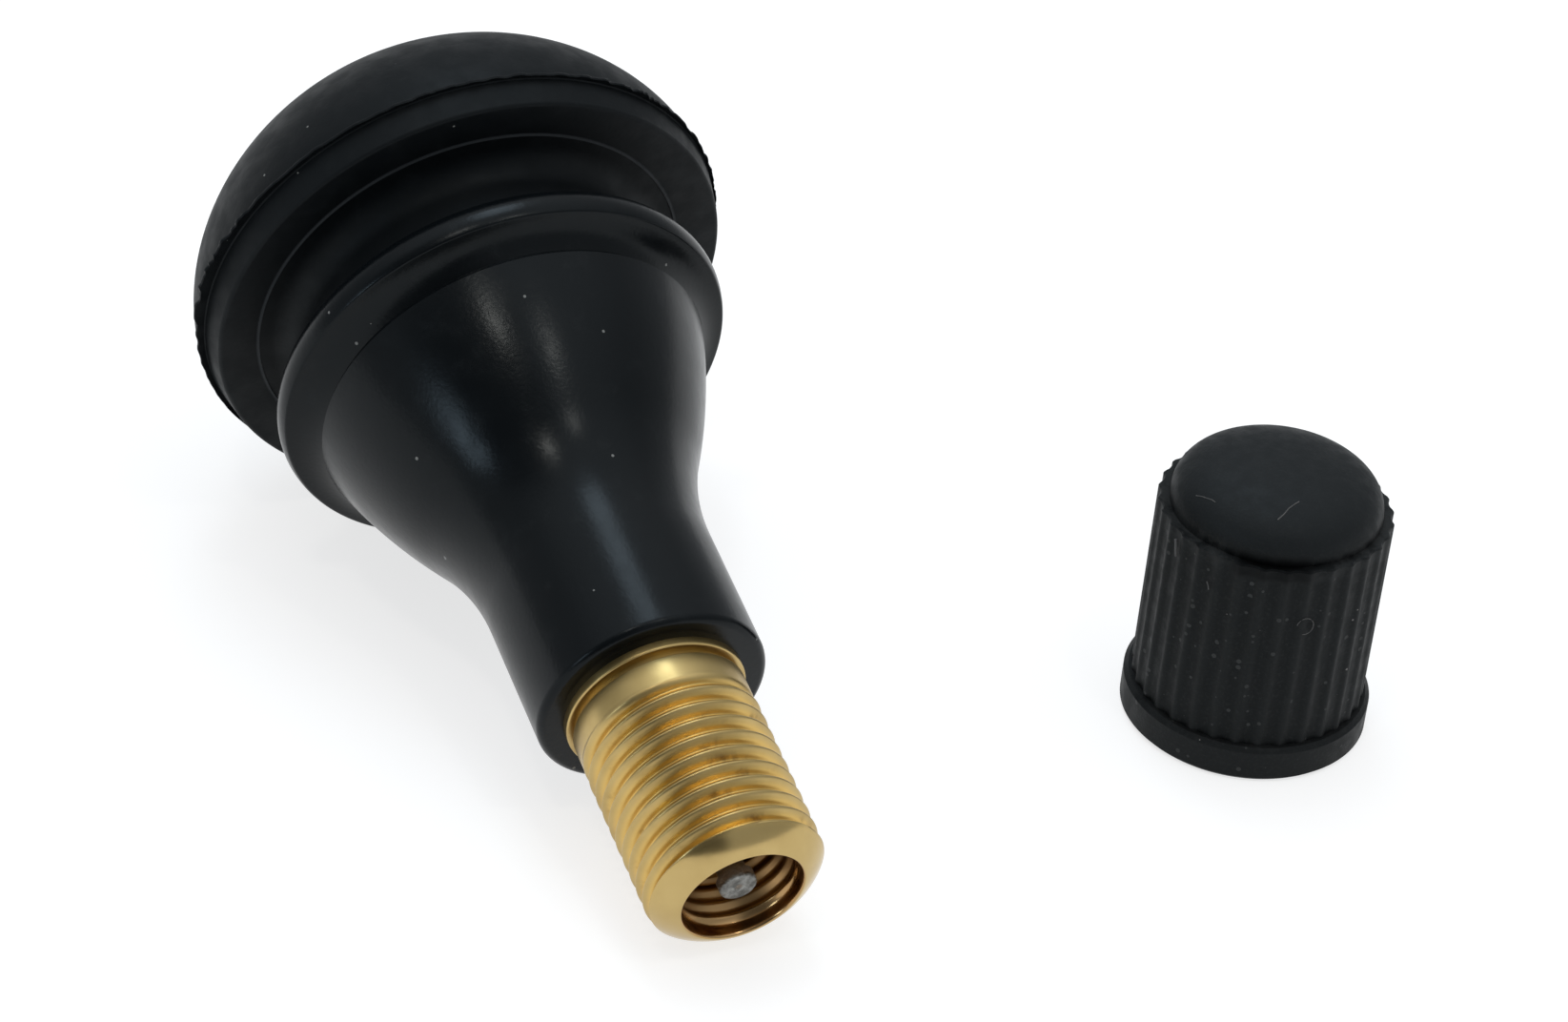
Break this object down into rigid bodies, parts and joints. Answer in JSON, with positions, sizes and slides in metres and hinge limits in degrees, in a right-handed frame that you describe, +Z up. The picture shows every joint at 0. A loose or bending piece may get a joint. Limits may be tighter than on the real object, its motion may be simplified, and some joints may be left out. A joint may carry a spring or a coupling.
{
  "type": "tyre valve",
  "caption": "Snap-in rubber tyre valve with a threaded brass stem and sprung core, lying on its side, and its ribbed dust cap standing beside it.",
  "frame": {"origin": "on the valve's axis, in the middle of the groove that holds the wheel rim", "axes": "+Z up from the surface that the valve lies on, +X along the valve's level direction towards its mouth, +Y towards the cap"},
  "size_m": [0.0437, 0.0458, 0.0239],
  "materials": {
    "rubber": "moulded, satin on the cone and matt on the dome",
    "brass": "turned and bright, fine tool marks",
    "core_brass": "turned, dull",
    "seal": "smooth",
    "steel": "drawn wire, pale and dull",
    "cap_plastic": "moulded, dusty and lightly scratched"
  },
  "bodies": {
    "valve": {"rubber_body": "rubber", "brass_stem": "brass", "valve_cap": "cap_plastic"},
    "core": {"core_barrel": "core_brass", "barrel_washer": "seal", "core_spring": "steel"},
    "plug": {"core_plug": "core_brass"},
    "pin": {"core_pin": "steel", "pin_cup": "core_brass", "cup_washer": "seal"}
  },
  "joints": [
    {"name": "core_unscrew", "type": "slide", "parent": "valve", "child": "core", "axis": [0.9711, 0, -0.2389], "range_m": [0, 0.00705]},
    {"name": "plug_turn", "type": "hinge", "parent": "core", "child": "plug", "pos_m": [0.02544, 0, -0.00626], "axis": [0.9711, 0, -0.2389], "range_deg": [0, 3600]},
    {"name": "pin_press", "type": "slide", "parent": "core", "child": "pin", "axis": [-0.9711, 0, 0.2389], "range_m": [0, 0.0011], "stiffness_N_per_m": 800, "springref_m": -0.004, "deforming": ["core_spring"]}
  ],
  "couplings": [
    {"joint": "plug_turn", "follows": "core_unscrew", "rad_per_m": 8904.7}
  ]
}
